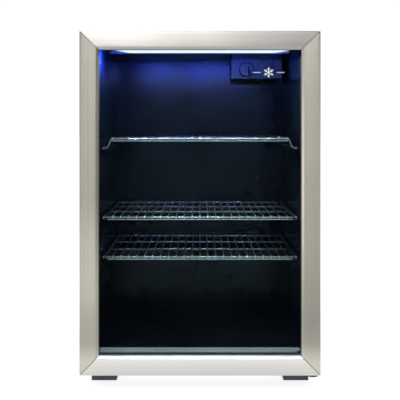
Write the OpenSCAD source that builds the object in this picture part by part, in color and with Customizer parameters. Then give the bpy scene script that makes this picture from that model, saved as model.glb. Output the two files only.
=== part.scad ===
// Compact glass-door beverage cooler, standing on its feet.
// Origin: centre of the footprint, on the floor. The door faces -Y, its hinge is on the +X side, +Z is up.

/* [Overall] */
// Width of the door
door_w = 445; // [440:1:452]
// Height of the door
door_h = 636.5; // [632:0.5:640]
// Depth from the door's face to the ends of the wall spacers
depth = 500; // [490:1:510]
// Height of the door's lower edge above the floor
door_bottom = 25.5; // [25:0.5:27]
// Height of the feet
foot_h = 19.5; // [18:0.5:20]

/* [Door] */
// Thickness of the door without its gasket
door_t = 46; // [44:1:48]
// Width of each stainless trim
trim_w = 35.5; // [34:0.5:37]
// Sheet thickness of the trims
trim_t = 1.2; // [1:0.1:1.4]
// Thickness of each glass pane
pane_t = 4; // [3:0.5:4.5]
// Distance of the hinge axis from the door's right edge
hinge_inset = 10.5; // [10.3:0.1:11]
// Distance of the hinge axis behind the door's face
hinge_back = 34; // [33:0.5:35]

/* [Cabinet] */
// Width of the cabinet
cab_w = 440; // [438:1:442]
// Sheet thickness of the steel shell
sheet_t = 1; // [0.8:0.1:1.2]
// Inner width of the liner
liner_w = 385; // [382:1:388]
// Inner depth of the liner
liner_depth = 350; // [346:1:352]
// Wall thickness of the liner
liner_t = 2.5; // [2:0.1:3]
// Height of the liner's floor
floor_z = 60.5; // [60:0.5:61]
// Height of the liner's ceiling
ceiling_z = 632; // [631:0.5:633]

/* [Shelves] */
// Height of the top shelf's front wire
top_shelf_z = 458.7; // [440:0.1:480]
// Height of the middle shelf's front wire
middle_shelf_z = 307.7; // [290:0.1:330]
// Height of the lower shelf's front wire
lower_shelf_z = 230.5; // [228:0.1:245]
// Number of fore-and-aft wires on a shelf
deck_wires = 23; // [15:1:25]
// Spacing of the fore-and-aft wires
deck_pitch = 15.5; // [12:0.1:15.6]

/* [Hidden] */
$fn = 40;

// Planes across the depth
front_y = -depth / 2;
door_back_y = front_y + door_t;
gasket_gap = 10;
cab_front_y = door_back_y + gasket_gap;
spacer_reach = 50;
cab_back_y = depth / 2 - spacer_reach;
liner_back_y = cab_front_y + liner_depth;

// Planes up the height
door_top = door_bottom + door_h;
cab_top = door_top - 4;
frame_top = cab_top - 0.8;
frame_bottom = door_bottom + 1.5;

// Hinge axis
axis_x = door_w / 2 - hinge_inset;
axis_y = front_y + hinge_back;
pin_d = 8;
pin_clear = 0.05;
bush_d = 12;
bush_len = 14;

// Door section, measured inwards from the door's outline and backwards from its face
return_depth = 14;
bevel_w = 5.5;
bevel_drop = 3;
glass_inset = 22.5;
glass_y = front_y + 6;
spacer_t = 12;
inner_pane_y = glass_y + pane_t + spacer_t;
frame_lip = trim_w - 3;

// Liner and compressor bay
sill_depth = 21;
sill_z = floor_z - 3;
sill_drop = 2.5;
hump_y = 62;
hump_z = 212;
bay_y = 95;
bay_z = 188;
flange_w = 13.3;
shell_lip = 14;
rear_lip = 10;
gap = 0.2;

// Shelves
shelf_front_y = cab_front_y + 29;
shelf_back_y = liner_back_y - 6;
cross_d = 3.6;
deck_d = 2.5;
rail_d = 5;
rail_x = liner_w / 2 - 5.5;
ledge_w = 11;
ledge_t = 6;
rest_gap = 0.3;
wing_drop = 16;
post_d = 4.2;

// Compressor
comp_x = 40;
comp_y = 163;
comp_r = 58;
comp_z = 36;
comp_h = 128;
mount_dx = 66;
mount_dy = 40;
pan_t = 1.2;
pan_top = foot_h + pan_t;
mount_h = 11;

// Control box under the ceiling
box_x = 70;
box_w = 112;
box_y = 76;
box_d = 76;
box_h = 42;
knob_x = box_x + 34;
rocker_x = box_x + 84;
control_z = ceiling_z - 22;

// Light bar
light_w = 352;
light_y = cab_front_y + 8;
light_d = 26;
light_h = 5.6;

// Condenser
cond_y = cab_back_y + 15;
cond_d = 4.8;
cond_runs = 10;
cond_pitch = 40;
cond_x = 172;
cond_z = 222;
cond_wire_d = 1.6;
cond_wire_pitch = 18;

// ---- helpers ----

ball_extra = 0.2;

// Box between two opposite corners
module block(lo, hi) {
    translate(lo) cube(hi - lo);
}

// Straight round bar between two points
module rod(p, q, d) {
    v = q - p;
    len = norm(v);
    translate(p) rotate([0, acos(v.z / len), atan2(v.y, v.x)]) cylinder(h = len, d = d);
}

// Round bar along a list of points, with ball corners a little fuller than the bar
module bent_rod(points, d) {
    for (i = [0 : len(points) - 2])
        rod(points[i], points[i + 1], d);
    for (i = [1 : 1 : len(points) - 2])
        translate(points[i]) sphere(d = d + ball_extra);
}

// Rectangular ring in the XZ plane, inset from the door's outline by two distances
module door_ring(outer, inner, y0, y1) {
    difference() {
        block([-door_w / 2 + outer, y0, door_bottom + outer], [door_w / 2 - outer, y1, door_top - outer]);
        block([-door_w / 2 + inner, y0 - 1, door_bottom + inner], [door_w / 2 - inner, y1 + 1, door_top - inner]);
    }
}

// Pan-head screw pointing up its +Z, head underneath
module screw(d, len) {
    cylinder(h = len, d = d);
    translate([0, 0, -1.8]) cylinder(h = 1.8, d1 = d * 1.7, d2 = d * 2);
}

// ---- door ----

// Section of a trim: outer return, face, bevel and the edge that meets the glass
module trim_section() {
    face = trim_w - bevel_w;
    polygon([
        [0, 0], [face, 0], [trim_w, bevel_drop], [trim_w, glass_y - front_y],
        [trim_w - trim_t, glass_y - front_y], [trim_w - trim_t, bevel_drop + trim_t / 2],
        [face - trim_t / 3, trim_t], [trim_t, trim_t], [trim_t, return_depth], [0, return_depth]
    ]);
}

// One trim along Z with both ends mitred, outer edge on x = 0
module trim(len) {
    seam = 0.25;
    half = len / 2 - seam;
    color([0.74, 0.72, 0.68])
        intersection() {
            linear_extrude(len, center = true) trim_section();
            rotate([90, 0, 0])
                linear_extrude(3 * return_depth, center = true)
                    polygon([[0, -half], [0, half], [trim_w, half - trim_w], [trim_w, trim_w - half]]);
        }
}

module trim_left() {
    translate([-door_w / 2, front_y, door_bottom + door_h / 2]) trim(door_h);
}

module trim_right() {
    mirror([1, 0, 0]) trim_left();
}

module trim_bottom() {
    translate([0, front_y, door_bottom]) rotate([0, -90, 0]) trim(door_w);
}

module trim_top() {
    translate([0, front_y, door_top]) rotate([0, 90, 0]) trim(door_w);
}

// Recessed grip down the left edge of the door, behind the trim
module grip_recess() {
    grip_r = 11;
    x = -door_w / 2 - 2;
    y = front_y + return_depth + grip_r + 4;
    z0 = door_bottom + 0.36 * door_h;
    z1 = door_bottom + 0.64 * door_h;
    bent_rod([[x, y, z0 - 1], [x, y, z0], [x, y, z1], [x, y, z1 + 1]], 2 * grip_r);
}

module bush_hole(z) {
    translate([axis_x, axis_y, z]) cylinder(h = bush_len, d = bush_d);
}

// Slope behind the glass that leaves the threshold's nose in view
module lower_relief() {
    z = door_bottom + frame_lip;
    translate([-door_w / 2 + frame_lip, 0, 0])
        rotate([90, 0, 90])
            linear_extrude(door_w - 2 * frame_lip)
                polygon([[door_back_y - 9.5, z + 0.5], [door_back_y - 9.5, z], [door_back_y + 1, z - 4.4], [door_back_y + 1, z + 0.5]]);
}

module door_frame() {
    rear_y = front_y + return_depth + gap;
    front_inset = trim_t + 0.3;
    color([0.07, 0.07, 0.08])
        difference() {
            union() {
                door_ring(front_inset, trim_w - bevel_w - 1, front_y + front_inset, rear_y + 0.5);
                difference() {
                    block([-door_w / 2 + 0.3, rear_y, frame_bottom], [door_w / 2 - 0.3, door_back_y, frame_top]);
                    block(
                        [-door_w / 2 + frame_lip, rear_y - 1, door_bottom + frame_lip],
                        [door_w / 2 - frame_lip, door_back_y + 1, door_top - frame_lip]
                    );
                }
            }
            block(
                [-door_w / 2 + glass_inset - 0.5, glass_y, door_bottom + glass_inset - 0.5],
                [door_w / 2 - glass_inset + 0.5, inner_pane_y + pane_t, door_top - glass_inset + 0.5]
            );
            lower_relief();
            grip_recess();
            bush_hole(frame_bottom);
            bush_hole(frame_top - bush_len);
        }
}

module pane(y) {
    color([0.75, 0.85, 0.85, 0.35])
        block(
            [-door_w / 2 + glass_inset, y, door_bottom + glass_inset],
            [door_w / 2 - glass_inset, y + pane_t, door_top - glass_inset]
        );
}

module outer_glass() {
    pane(glass_y);
}

module inner_glass() {
    pane(inner_pane_y);
}

module glass_spacer() {
    color([0.45, 0.47, 0.5])
        door_ring(glass_inset + 1, trim_w - 3, glass_y + pane_t, inner_pane_y);
}

// Magnetic gasket: foot, waist and sealing face
module door_gasket() {
    outer = 14;
    width = 14;
    groove = 3;
    back_y = cab_front_y - gap;
    color([0.16, 0.16, 0.17])
        difference() {
            door_ring(outer, outer + width, door_back_y, back_y);
            difference() {
                door_ring(outer - 1, outer + width + 1, door_back_y + 3, back_y - 4);
                door_ring(outer + groove, outer + width - groove, door_back_y + 2, back_y - 3);
            }
        }
}

module upper_bush() {
    color([0.85, 0.85, 0.82])
        translate([axis_x, axis_y, frame_top - bush_len])
            difference() {
                cylinder(h = bush_len, d = bush_d);
                translate([0, 0, 2]) cylinder(h = bush_len, d = pin_d + 2 * pin_clear);
            }
}

// The lower bush stands on the hinge plate and carries the door
module lower_bush() {
    collar_z = foot_h + gap;
    color([0.85, 0.85, 0.82])
        difference() {
            union() {
                translate([axis_x, axis_y, collar_z]) cylinder(h = frame_bottom - collar_z, d = bush_d + 5);
                translate([axis_x, axis_y, collar_z]) cylinder(h = frame_bottom + bush_len - collar_z, d = bush_d);
            }
            translate([axis_x, axis_y, collar_z - 1])
                cylinder(h = frame_bottom + bush_len - collar_z - 1, d = pin_d + 2 * pin_clear);
        }
}

// ---- hinges ----

hinge_nose_d = 20;
strap_len = 74;
strap_x = axis_x - 4.5;
strap_w = 10;
upper_plate_t = 3;
lower_plate_t = 4;

module hinge_plate(z, t) {
    difference() {
        union() {
            translate([axis_x, axis_y, z]) cylinder(h = t, d = hinge_nose_d);
            block([axis_x - hinge_nose_d / 2, axis_y, z], [axis_x + hinge_nose_d / 2 - 2, axis_y + 21, z + t]);
            block([strap_x, axis_y, z], [strap_x + strap_w, axis_y + strap_len, z + t]);
        }
        translate([axis_x, axis_y, z - 1]) cylinder(h = t + 2, d = pin_d);
        for (y = hinge_screw_ys)
            translate([hinge_screw_x, y, z - 1]) cylinder(h = t + 2, d = screw_d);
    }
}

screw_d = 4;
hinge_screw_x = strap_x + 5;
hinge_screw_ys = [axis_y + 36, axis_y + 62];

module upper_hinge_plate() {
    color([0.6, 0.6, 0.62]) hinge_plate(cab_top, upper_plate_t);
}

module lower_hinge_plate() {
    color([0.7, 0.7, 0.72]) hinge_plate(foot_h - lower_plate_t, lower_plate_t);
}

module upper_hinge_pin() {
    color([0.75, 0.75, 0.77])
        translate([axis_x, axis_y, frame_top - bush_len + 3])
            cylinder(h = cab_top + upper_plate_t - frame_top + bush_len - 3, d = pin_d);
}

module lower_hinge_pin() {
    color([0.75, 0.75, 0.77])
        translate([axis_x, axis_y, foot_h - lower_plate_t])
            cylinder(h = lower_plate_t + frame_bottom - foot_h + bush_len - 3, d = pin_d);
}

// Cap over the upper hinge strap, clear of the swinging door
module hinge_cover() {
    wall = 1.6;
    x0 = cab_w / 2 - 20;
    y0 = cab_front_y + 2.5;
    height = 9;
    color([0.1, 0.1, 0.11])
        difference() {
            block([x0, y0, cab_top], [cab_w / 2 - 0.5, axis_y + strap_len + 4, cab_top + height]);
            block(
                [x0 + wall, y0 - 1, cab_top - 1],
                [cab_w / 2 - 0.5 - wall, axis_y + strap_len + 4 - wall, cab_top + height - wall]
            );
        }
}

module hinge_screws() {
    color([0.7, 0.7, 0.72])
        for (y = hinge_screw_ys) {
            translate([hinge_screw_x, y, foot_h - lower_plate_t]) screw(screw_d, 8);
            translate([hinge_screw_x, y, cab_top + upper_plate_t]) mirror([0, 0, 1]) screw(screw_d, 8);
        }
}

// Clearance for the hinge screws in whatever they pass through
module hinge_screw_holes() {
    for (y = hinge_screw_ys)
        for (z = [foot_h - 1, cab_top - 8])
            translate([hinge_screw_x, y, z]) cylinder(h = 10, d = screw_d + 0.2);
}

// ---- cabinet ----

// Steel wrap: two sides and the top, with lips turned in at the front and the back
module cabinet_shell() {
    x1 = cab_w / 2;
    color([0.09, 0.09, 0.1])
        difference() {
            block([-x1, cab_front_y, foot_h], [x1, cab_back_y, cab_top]);
            block(
                [-x1 + sheet_t, cab_front_y + sheet_t, foot_h - 1],
                [x1 - sheet_t, cab_back_y - sheet_t, cab_top - sheet_t]
            );
            block([-x1 + shell_lip, cab_front_y - 1, foot_h - 1], [x1 - shell_lip, cab_front_y + 2, cab_top - shell_lip]);
            block([-x1 + rear_lip, cab_back_y - 2, foot_h - 1], [x1 - rear_lip, cab_back_y + 1, cab_top - rear_lip]);
            hinge_screw_holes();
        }
}

rear_screw_xs = [-190, 0, 190];

module back_panel() {
    x1 = cab_w / 2 - rear_lip - gap;
    color([0.5, 0.52, 0.53])
        difference() {
            block([-x1, cab_back_y - pan_t, bay_z + pan_t + gap], [x1, cab_back_y, cab_top - rear_lip - gap]);
            rear_screw_places(cab_back_y - 3) cylinder(h = 5, d = screw_d);
            spacer_pin_holes();
        }
}

// Holes that the wall spacers' pins push into
module spacer_pin_holes() {
    for (side = [-1, 1])
        translate([side * spacer_x, cab_back_y - 12, spacer_z])
            rotate([-90, 0, 0])
                cylinder(h = 14, d = spacer_pin_d + 0.2);
}

module rear_screw_places(y) {
    for (x = rear_screw_xs)
        for (z = [bay_z + 12, cab_top - 22])
            translate([x, y, z]) rotate([-90, 0, 0]) children();
}

module rear_screws() {
    color([0.7, 0.7, 0.72])
        rear_screw_places(cab_back_y) mirror([0, 0, 1]) screw(screw_d, 9);
}

pan_x = cab_w / 2 - sheet_t - gap;
pan_back_y = cab_back_y + 32;

// Floor of the cabinet and shelf of the compressor bay
module base_pan() {
    slot_w = 5;
    color([0.3, 0.31, 0.32])
        difference() {
            union() {
                block([-pan_x, cab_front_y + sheet_t + gap, foot_h], [pan_x, pan_back_y, pan_top]);
                block([-pan_x, pan_back_y - pan_t, foot_h], [pan_x, pan_back_y, foot_h + 10]);
                block([gland_x - 24, pan_back_y - pan_t, foot_h], [gland_x + 24, pan_back_y, gland_z + 18]);
            }
            for (side = [-1, 1])
                translate([side * (pan_x - rear_lip / 2 + 1), cab_back_y + 20, gland_z])
                    cube([rear_lip, 40 + 2 * (sheet_t + gap), 60], center = true);
            mount_places(foot_h - 1) cylinder(h = 4, d = 6);
            translate([gland_x, pan_back_y - 3, gland_z]) rotate([-90, 0, 0]) cylinder(h = 6, d = gland_neck_d);
            hinge_screw_holes();
            for (i = [0 : 7])
                block(
                    [-150 + i * 12, 120, foot_h - 1],
                    [-150 + i * 12 + slot_w, 190, pan_top + 1]
                );
        }
}

// Angle that closes the cabinet's face below the liner
module front_rail() {
    x1 = cab_w / 2 - shell_lip - gap;
    rail_top = sill_z - sill_drop - flange_w - gap;
    color([0.09, 0.09, 0.1])
        difference() {
            union() {
                block([-x1, cab_front_y, pan_top], [x1, cab_front_y + pan_t, rail_top]);
                block([-x1, cab_front_y, pan_top], [x1, cab_front_y + 24, pan_top + pan_t]);
            }
            hinge_screw_holes();
        }
}

// Wall and roof between the foam and the compressor bay
module bay_panel() {
    color([0.55, 0.56, 0.57])
        difference() {
            union() {
                block([-pan_x, bay_y, pan_top], [pan_x, bay_y + pan_t, bay_z + pan_t]);
                block([-pan_x, bay_y, bay_z], [pan_x, cab_back_y - sheet_t - gap, bay_z + pan_t]);
            }
            drain_hole();
            suction_hole();
        }
}

drain_x = comp_x + 24;
drain_y = liner_back_y - 7;
drain_d = 10;

module drain_hole() {
    translate([drain_x, drain_y, bay_z - 2]) cylinder(h = hump_z - bay_z + 3, d = drain_d + 2 * gap);
}

module suction_hole() {
    translate([suction_x, suction_y, bay_z - 2]) cylinder(h = 60, d = line_d + 1);
}

// Space inside the liner
module liner_cavity() {
    half = liner_w / 2;
    difference() {
        union() {
            block([-half, cab_front_y - 1, floor_z], [half, liner_back_y, ceiling_z]);
            block([-half, cab_front_y - 1, sill_z - sill_drop], [half, cab_front_y + sill_depth, ceiling_z]);
        }
        block([-half - 1, hump_y, floor_z - 1], [half + 1, liner_back_y + 1, hump_z]);
    }
}

// Outside of the liner's tub
module liner_envelope() {
    half = liner_w / 2 + liner_t;
    z0 = sill_z - sill_drop - liner_t;
    difference() {
        block([-half, cab_front_y, z0], [half, liner_back_y + liner_t, ceiling_z + liner_t]);
        block([-half - 1, hump_y + liner_t, z0 - 1], [half + 1, liner_back_y + liner_t + 1, hump_z - liner_t]);
    }
}

// A ledge on each side wall carries a shelf
module shelf_ledges(z) {
    for (side = [-1, 1])
        translate([side * (liner_w / 2 - ledge_w / 2 + 0.5), (cab_front_y + liner_back_y) / 2 + 8, z - ledge_t / 2])
            cube([ledge_w + 1, liner_depth - 20, ledge_t], center = true);
}

module inner_liner() {
    half = liner_w / 2;
    z0 = sill_z - sill_drop;
    color([0.03, 0.03, 0.035])
        difference() {
            union() {
                difference() {
                    union() {
                        liner_envelope();
                        block(
                            [-half - flange_w, cab_front_y, z0 - flange_w],
                            [half + flange_w, cab_front_y + liner_t, ceiling_z + flange_w - 1.5]
                        );
                    }
                    liner_cavity();
                }
                shelf_ledges(middle_shelf_z - rail_d / 2 - rest_gap);
                shelf_ledges(lower_shelf_z - rail_d / 2 - rest_gap);
                shelf_ledges(top_shelf_z - wing_drop - rail_d / 2 - rest_gap);
            }
            drain_hole();
            translate([box_x + 12, box_y + 30, ceiling_z - 1]) cylinder(h = liner_t + 2, d = 8);
        }
}

module foam_insulation() {
    x1 = cab_w / 2 - sheet_t;
    color([0.9, 0.82, 0.55])
        difference() {
            block(
                [-x1, cab_front_y + liner_t + gap, pan_top + 4],
                [x1, cab_back_y - pan_t - gap, cab_top - sheet_t]
            );
            liner_envelope();
            block([-x1 - 1, bay_y - gap, 0], [x1 + 1, cab_back_y + 1, bay_z + pan_t + gap]);
            evaporator_pocket();
            drain_hole();
            suction_hole();
            hinge_screw_holes();
            rear_screw_places(cab_back_y - 12) cylinder(h = 14, d = screw_d + 0.4);
            spacer_pin_holes();
        }
}

// Grey strip across the liner's mouth, with a nose that reaches over the gasket and stops short of the hinge side
module sill_trim() {
    half = liner_w / 2 - gap;
    nose_end = 185;
    color([0.48, 0.52, 0.57])
        union() {
            block([-half, cab_front_y, sill_z - sill_drop], [half, cab_front_y + sill_depth - gap, sill_z]);
            block([-half, door_back_y + gap, sill_z - sill_drop], [nose_end, cab_front_y + 1, sill_z]);
        }
}

evap_x = 150;
evap_z0 = 300;
evap_z1 = 600;
evap_rows = 9;

module evaporator_pocket() {
    block(
        [-evap_x - 3, liner_back_y + liner_t - 1, evap_z0 - 3],
        [evap_x + 3, liner_back_y + liner_t + 7, evap_z1 + 3]
    );
    translate([suction_x, suction_y, bay_z]) cylinder(h = evap_z0 - bay_z, d = line_d + 1);
}

// Roll-bond plate with its blown channel
module evaporator_plate() {
    y0 = liner_back_y + liner_t + gap;
    step = (evap_z1 - evap_z0 - 40) / (evap_rows - 1);
    color([0.75, 0.76, 0.78])
        union() {
            block([-evap_x, y0, evap_z0], [evap_x, y0 + 1.5, evap_z1]);
            for (i = [0 : evap_rows - 1])
                rod([-evap_x + 15, y0 + 3.1, evap_z0 + 20 + i * step], [evap_x - 15, y0 + 3.1, evap_z0 + 20 + i * step], 6);
        }
}

// Gutter that catches the melt water from the cold rear wall
module drain_trough() {
    y1 = liner_back_y - gap;
    y0 = y1 - 11;
    half = liner_w / 2 - 4;
    color([0.05, 0.05, 0.055])
        difference() {
            block([-half, y0, hump_z], [half, y1, hump_z + 8]);
            block([-half + 2, y0 + 1.5, hump_z + 2], [half - 2, y1 - 1.5, hump_z + 9]);
            translate([drain_x, drain_y, hump_z - 1]) cylinder(h = 4, d = drain_d - 3);
        }
}

module drain_tube() {
    color([0.8, 0.8, 0.78])
        translate([drain_x, drain_y, comp_z + comp_h + 6])
            difference() {
                cylinder(h = hump_z - comp_z - comp_h - 6, d = drain_d);
                translate([0, 0, -1]) cylinder(h = 60, d = drain_d - 3);
            }
}

// Tray on the compressor's dome, where its heat dries the melt water
module drip_tray() {
    z0 = comp_z + comp_h;
    color([0.15, 0.15, 0.16])
        difference() {
            block([comp_x - 52, comp_y - 50, z0], [comp_x + 52, comp_y + 46, z0 + 16]);
            block([comp_x - 50, comp_y - 48, z0 + 2], [comp_x + 50, comp_y + 44, z0 + 17]);
        }
}

// ---- light ----

module light_housing() {
    color([0.06, 0.06, 0.07])
        difference() {
            block([-light_w / 2, light_y, ceiling_z - light_h], [light_w / 2, light_y + light_d, ceiling_z]);
            block([-light_w / 2 + 5, light_y - 1, ceiling_z - light_h - 1], [light_w / 2 - 5, light_y + 20, ceiling_z - 1]);
        }
}

module led_board() {
    color([0.9, 0.9, 0.9])
        union() {
            block([-light_w / 2 + 8, light_y + 3, ceiling_z - 2.2], [light_w / 2 - 8, light_y + 17, ceiling_z - 1]);
            for (i = [0 : 11])
                translate([-light_w / 2 + 21 + i * 28.2, light_y + 10, ceiling_z - 2.6]) cube([5, 3, 0.9], center = true);
        }
}

module light_lens() {
    color([0.92, 0.95, 1])
        difference() {
            block([-light_w / 2 + 5.2, light_y + 0.2, ceiling_z - light_h], [light_w / 2 - 5.2, light_y + 19.8, ceiling_z - 1.2]);
            block([-light_w / 2 + 7, light_y + 1.8, ceiling_z - 3.6], [light_w / 2 - 7, light_y + 18, ceiling_z - 1]);
        }
}

// ---- controls ----

spindle_d = 6;
rocker_w = 20;
rocker_h = 12;

module thermostat_housing() {
    wall = 2;
    z0 = ceiling_z - box_h;
    color([0.08, 0.08, 0.09])
        difference() {
            block([box_x, box_y, z0], [box_x + box_w, box_y + box_d, ceiling_z]);
            block([box_x + wall, box_y + wall, z0 + wall], [box_x + box_w - wall, box_y + box_d - wall, ceiling_z + 1]);
            translate([knob_x, box_y - 1, control_z]) rotate([-90, 0, 0]) cylinder(h = 5, d = spindle_d + 1.4);
            block(
                [rocker_x - rocker_w / 2 - 0.4, box_y - 1, control_z - rocker_h / 2 - 0.4],
                [rocker_x + rocker_w / 2 + 0.4, box_y + 3, control_z + rocker_h / 2 + 0.4]
            );
            for (i = [0 : 5])
                block([box_x + 12 + i * 8, box_y + 20, z0 - 1], [box_x + 15 + i * 8, box_y + 60, z0 + 3]);
        }
}

module thermostat_body() {
    y0 = box_y + 2.2;
    color([0.65, 0.65, 0.6])
        difference() {
            block([knob_x - 17, y0, control_z - 13], [knob_x + 17, y0 + 28, control_z + 13]);
            translate([knob_x, y0 - 1, control_z]) rotate([-90, 0, 0]) cylinder(h = 16, d = spindle_d + 2 * pin_clear);
        }
}

module thermostat_spindle() {
    color([0.7, 0.7, 0.72])
        translate([knob_x, box_y - 9, control_z]) rotate([-90, 0, 0]) cylinder(h = 9 + 14, d = spindle_d);
}

// Dial with a raised finger bar and a blind socket for the spindle
module thermostat_knob() {
    color([0.12, 0.12, 0.13])
        translate([knob_x, box_y - 0.6, control_z]) rotate([90, 0, 0])
            difference() {
                union() {
                    cylinder(h = 5, d = 34);
                    translate([0, 0, 5]) cylinder(h = 2, d1 = 34, d2 = 30);
                    translate([-3, -14, 5]) cube([6, 28, 9]);
                }
                translate([0, 0, -1]) cylinder(h = 9.4, d = spindle_d);
            }
}

module switch_body() {
    y0 = box_y + 9;
    color([0.2, 0.2, 0.21])
        union() {
            block([rocker_x - 11, y0, control_z - 7.5], [rocker_x + 11, y0 + 16, control_z + 7.5]);
            for (i = [-1, 1])
                block([rocker_x + i * 6 - 2.4, y0 + 16, control_z - 0.4], [rocker_x + i * 6 + 2.4, y0 + 24, control_z + 0.4]);
        }
}

rocker_tilt = 8;
rocker_y = box_y + 4;

// Rocker tipped to its "on" stop
module light_rocker() {
    color([0.15, 0.15, 0.16])
        translate([rocker_x, rocker_y, control_z]) rotate([rocker_tilt, 0, 0])
            union() {
                rotate([0, 90, 0]) cylinder(h = rocker_w - 1, d = 7, center = true);
                translate([0, -3, 0]) cube([rocker_w - 1, 3, rocker_h - 1.6], center = true);
            }
}

// ---- refrigeration ----

module compressor_shell() {
    rim = 3;
    dome = 26;
    steps = 8;
    color([0.05, 0.05, 0.055])
        translate([comp_x, comp_y, comp_z])
            rotate_extrude($fn = 72)
                polygon(concat(
                    [[0, 0], [comp_r - 14, 0]],
                    [for (i = [0 : steps]) let (a = -90 + 90 * i / steps) [comp_r - 14 + 14 * cos(a), 14 + 14 * sin(a)]],
                    [
                        [comp_r, 62], [comp_r + rim, 63], [comp_r + rim, 69], [comp_r, 70],
                        [comp_r, comp_h - dome]
                    ],
                    [
                        for (i = [1 : steps])
                            let (a = 90 * i / steps)
                                [comp_r - dome + dome * cos(a), comp_h - dome + dome * sin(a)]
                    ],
                    [[0, comp_h]]
                ));
}

module mount_places(z) {
    for (sx = [-1, 1])
        for (sy = [-1, 1])
            translate([comp_x + sx * mount_dx, comp_y + sy * mount_dy, z]) children();
}

module compressor_base() {
    z0 = pan_top + mount_h;
    color([0.08, 0.08, 0.085])
        difference() {
            block([comp_x - 80, comp_y - 52, z0], [comp_x + 80, comp_y + 52, comp_z]);
            mount_places(z0 - 1) cylinder(h = 8, d = 8);
        }
}

module compressor_mounts() {
    color([0.12, 0.12, 0.12])
        mount_places(pan_top)
            difference() {
                union() {
                    cylinder(h = mount_h, d = 20);
                    translate([0, 0, 4]) cylinder(h = 3, d = 23);
                }
                translate([0, 0, -1]) cylinder(h = mount_h + 2, d = 6);
            }
}

module mount_bolts() {
    color([0.72, 0.72, 0.74])
        mount_places(foot_h - 3)
            union() {
                cylinder(h = 3, d = 11, $fn = 6);
                cylinder(h = comp_z - foot_h + 9, d = 5.8);
                translate([0, 0, comp_z - foot_h + 3]) cylinder(h = 1, d = 13);
                translate([0, 0, comp_z - foot_h + 4]) cylinder(h = 4, d = 10, $fn = 6);
            }
}

// Box over the start relay and the terminals
module relay_cover() {
    x1 = comp_x - comp_r - 3.3;
    color([0.1, 0.1, 0.11])
        difference() {
            block([x1 - 34, comp_y - 28, comp_z + 12], [x1, comp_y + 28, comp_z + 84]);
            block([x1 - 32, comp_y - 26, comp_z + 14], [x1 + 1, comp_y + 26, comp_z + 82]);
        }
}

line_d = 6;
suction_x = -60;
suction_y = liner_back_y + liner_t + 4.2;

// Tube from the condenser's start down to the compressor
module discharge_line() {
    z0 = comp_z + 92;
    start_x = comp_x + comp_r + 0.4;
    turn_x = start_x + 36;
    riser_x = cond_x + 14;
    color([0.72, 0.42, 0.25])
        bent_rod([
            [start_x, comp_y, z0], [turn_x, comp_y, z0], [turn_x, cond_y, z0],
            [riser_x, cond_y, z0], [riser_x, cond_y, cond_z], [cond_x + 0.2, cond_y, cond_z]
        ], 5);
}

// Tube from the evaporator back to the compressor
module suction_line() {
    z0 = comp_z + 96;
    low_z = bay_z - 12;
    color([0.72, 0.42, 0.25])
        bent_rod([
            [suction_x, suction_y, evap_z0 - 4], [suction_x, suction_y, low_z],
            [suction_x, suction_y - 20, z0], [comp_x - comp_r - 0.4, comp_y - 18, z0]
        ], line_d);
}

// Drier at the condenser's end, before the capillary
module filter_drier() {
    color([0.72, 0.42, 0.25])
        translate([-150, 150, 60])
            rotate_extrude()
                polygon([[0, 0], [2.5, 0], [2.5, 12], [9, 20], [9, 80], [2.5, 88], [2.5, 100], [0, 100]]);
}

// Serpentine of the condenser, from the lowest run up to the highest
module condenser_tube() {
    color([0.08, 0.08, 0.085])
        union() {
            for (i = [0 : cond_runs - 1])
                rod([-cond_x, cond_y, cond_z + i * cond_pitch], [cond_x, cond_y, cond_z + i * cond_pitch], cond_d);
            for (i = [0 : cond_runs - 2]) {
                side = i % 2 == 0 ? -1 : 1;
                translate([side * cond_x, cond_y, cond_z + (i + 0.5) * cond_pitch])
                    rotate([90, 0, 0])
                        rotate([0, 0, side * 90 - 90])
                            rotate([0, 0, -90])
                                rotate_extrude(angle = 180) translate([cond_pitch / 2, 0]) circle(d = cond_d);
            }
        }
}

module condenser_wires() {
    count = floor((2 * cond_x - 24) / cond_wire_pitch);
    z0 = cond_z - 10;
    z1 = cond_z + (cond_runs - 1) * cond_pitch + 10;
    off = (cond_d + cond_wire_d) / 2 + 0.02;
    color([0.08, 0.08, 0.085])
        for (i = [0 : count])
            for (side = [-1, 1]) {
                x = (i - count / 2) * cond_wire_pitch + side * 3;
                rod([x, cond_y + side * off, z0], [x, cond_y + side * off, z1], cond_wire_d);
            }
}

module condenser_brackets() {
    color([0.1, 0.1, 0.11])
        for (sx = [-1, 1])
            for (row = [1, cond_runs - 2]) {
                z = cond_z + row * cond_pitch;
                difference() {
                    block([sx * 163 - 5, cab_back_y, z - 7], [sx * 163 + 5, cond_y + 4, z + 7]);
                    rod([-cond_x, cond_y, z], [cond_x, cond_y, z], cond_d + 0.2);
                }
            }
}

gland_x = -170;
gland_z = foot_h + 22;
gland_neck_d = 13;

// Bushing that the supply cord passes through
module cord_gland() {
    color([0.1, 0.1, 0.1])
        translate([gland_x, pan_back_y, gland_z]) rotate([-90, 0, 0])
            difference() {
                union() {
                    translate([0, 0, -pan_t]) cylinder(h = pan_t, d = gland_neck_d);
                    cylinder(h = 4, d = 20);
                    translate([0, 0, 4]) cylinder(h = 7, d1 = 14, d2 = 11);
                    translate([0, 0, -pan_t - 4]) cylinder(h = 4, d = 17);
                }
                translate([0, 0, -10]) cylinder(h = 30, d = 7.4);
            }
}

// ---- feet and spacers ----

foot_w = 48;
foot_d = 36;
foot_x = 183;
front_foot_y = cab_front_y + 18;
rear_foot_y = 168;

// Block foot with a recess under its top plate
module foot(x, y) {
    color([0.22, 0.22, 0.25])
        translate([x, y, 0])
            difference() {
                block([-foot_w / 2, -foot_d / 2, 0], [foot_w / 2, foot_d / 2, foot_h]);
                for (side = [-1, 1])
                    translate([0, side * foot_d / 2, foot_h - 4]) cube([foot_w - 12, 3, 3], center = true);
            }
}

module front_foot_left() {
    foot(-foot_x, front_foot_y);
}

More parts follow.
